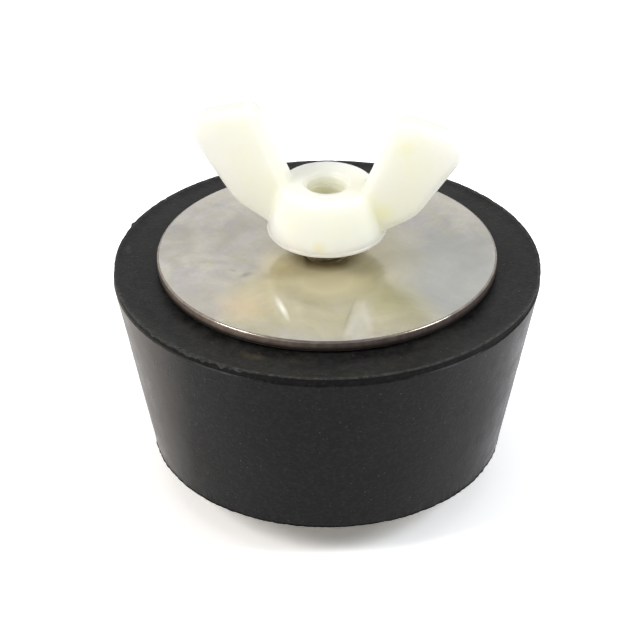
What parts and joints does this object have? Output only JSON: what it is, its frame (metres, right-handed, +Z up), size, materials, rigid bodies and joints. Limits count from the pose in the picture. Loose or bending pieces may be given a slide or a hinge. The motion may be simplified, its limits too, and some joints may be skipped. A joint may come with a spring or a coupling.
{
  "type": "pool winter plug",
  "caption": "Tapered rubber stopper between two steel plates on a bolt; turning the nylon wing nut draws the plates together so the rubber swells and seals a pool pipe.",
  "frame": {"origin": "on the ground under the middle of the bolt head, on the axis of the bolt", "axes": "+Z up along the bolt axis, out of the pipe; the picture looks along +Y, with the wings nearly along X"},
  "size_m": [0.075, 0.075, 0.0719],
  "materials": {
    "black_rubber": "matt moulded rubber with fine dust",
    "top_plate_steel": "mottled satin stainless sheet with a bright rolled edge",
    "bottom_plate_steel": "mottled satin stainless sheet",
    "bolt_steel": "dark stainless thread",
    "white_nylon": "milky moulded nylon"
  },
  "bodies": {
    "bolt": {"bolt": "bolt_steel", "bottom_plate": "bottom_plate_steel", "rubber_stopper": "black_rubber"},
    "top_plate": {"top_plate": "top_plate_steel"},
    "wing_nut": {"wing_nut": "white_nylon"}
  },
  "joints": [
    {"name": "nut_turn", "type": "hinge", "parent": "top_plate", "child": "wing_nut", "pos_m": [0, 0, 0.049], "axis": [0, 0, 1], "range_deg": [-915, 0]},
    {"name": "plate_press", "type": "slide", "parent": "bolt", "child": "top_plate", "axis": [0, 0, 1], "range_m": [-0.0035, 0], "deforming": ["rubber_stopper"]}
  ],
  "couplings": [
    {"joint": "nut_turn", "follows": "plate_press", "rad_per_m": 4452.7}
  ]
}
